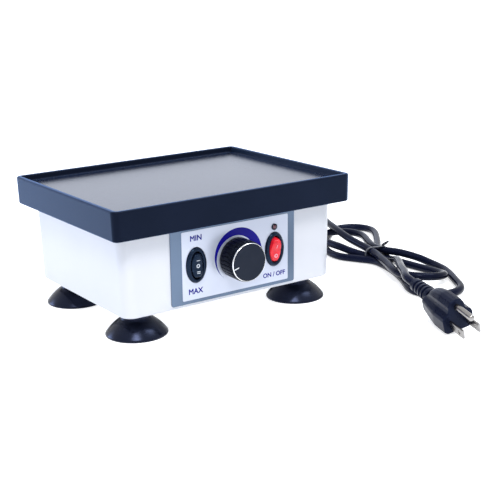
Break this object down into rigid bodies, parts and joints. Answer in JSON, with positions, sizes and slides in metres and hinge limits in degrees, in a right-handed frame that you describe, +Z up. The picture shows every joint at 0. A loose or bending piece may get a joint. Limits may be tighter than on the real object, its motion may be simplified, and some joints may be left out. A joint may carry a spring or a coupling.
{
  "type": "laboratory vibrating table",
  "caption": "Low mains-powered vibrating table: a rubber tray on springs over a white housing with a control panel, suction feet and a tied cord.",
  "frame": {"origin": "on the bench, below the centre of the tray", "axes": "+Z up, +X along the front to the right, -Y towards the user and out of the control panel"},
  "size_m": [0.3465, 0.3691, 0.0976],
  "materials": {
    "tray_rubber": "satin black rubber",
    "steel": "zinc-plated sheet",
    "zinc": "zinc-plated",
    "lamination": "dark laminated steel",
    "white_enamel": "white enamel",
    "foot_rubber": "glossy black rubber",
    "panel_metal": "grey-blue anodised",
    "panel_print": "silvery white film",
    "black_plastic": "black",
    "lamp_red": "translucent red",
    "rocker_red": "translucent red",
    "brass": "plain",
    "bright_aluminium": "turned bright",
    "dark_aluminium": "spun and anodised black",
    "grey_aluminium": "extruded",
    "pale_plastic": "moulded",
    "copper": "enamelled copper wire",
    "board": "green circuit board",
    "blue_plastic": "moulded",
    "fuse_glass": "clear",
    "wire_brown": "sleeve",
    "wire_red": "sleeve",
    "wire_black": "sleeve",
    "cord_black": "smooth black sheath",
    "plug_metal": "nickel-plated"
  },
  "bodies": {
    "base": {"coil_springs": "zinc", "housing": "white_enamel", "base_plate": "steel", "base_screws": "zinc", "foot_front_left": "foot_rubber", "foot_front_right": "foot_rubber", "foot_back_left": "foot_rubber", "foot_back_right": "foot_rubber", "foot_studs": "zinc", "foot_nuts": "zinc", "panel_plate": "panel_metal", "panel_label": "panel_print", "lamp_holder": "black_plastic", "lamp_lens": "lamp_red", "speed_switch_case": "black_plastic", "speed_switch_terminals": "brass", "power_switch_case": "black_plastic", "power_switch_terminals": "brass", "pot_case": "steel", "pot_nut": "zinc", "magnet_bracket": "steel", "bracket_screws": "zinc", "clamp_bolts": "zinc", "magnet_core": "lamination", "coil_bobbin": "pale_plastic", "coil_winding": "copper", "control_board": "board", "board_standoffs": "brass", "board_screws": "zinc", "heat_sink": "grey_aluminium", "triac": "black_plastic", "capacitors": "blue_plastic", "fuse": "fuse_glass", "terminal_block": "pale_plastic", "earth_screw": "brass", "mains_wires": "wire_brown", "control_wires": "wire_red", "coil_wires": "wire_black", "strain_relief": "cord_black", "cord_lead": "cord_black", "cord_hank": "cord_black", "cord_tail": "cord_black", "cord_tie": "black_plastic", "plug_body": "cord_black", "plug_pins": "plug_metal"},
    "table": {"rubber_tray": "tray_rubber", "table_plate": "steel", "guide_bolts": "zinc", "guide_washers": "zinc", "guide_nuts": "zinc", "armature": "lamination", "armature_spacers": "zinc", "armature_screws": "zinc"},
    "knob": {"pot_shaft": "zinc", "knob_body": "black_plastic", "knob_ring": "bright_aluminium", "knob_face": "dark_aluminium"},
    "speed_switch": {"speed_rocker": "black_plastic"},
    "power_switch": {"power_rocker": "rocker_red"}
  },
  "joints": [
    {"name": "table_vibrate", "type": "slide", "parent": "base", "child": "table", "axis": [0, 0, 1], "range_m": [-0.0006, 0.0006], "stiffness_N_per_m": 40000, "springref_m": 0.0003, "deforming": ["coil_springs"]},
    {"name": "knob_turn", "type": "hinge", "parent": "base", "child": "knob", "pos_m": [0.0005, -0.07022, 0.0485], "axis": [0, -0.9997, -0.024], "range_deg": [-241, 29]},
    {"name": "speed_rock", "type": "hinge", "parent": "base", "child": "speed_switch", "pos_m": [-0.0332, -0.07042, 0.0485], "axis": [1, 0, 0], "range_deg": [-11, 11]},
    {"name": "power_rock", "type": "hinge", "parent": "base", "child": "power_switch", "pos_m": [0.0342, -0.07042, 0.0485], "axis": [-1, 0, 0], "range_deg": [0, 22]}
  ]
}
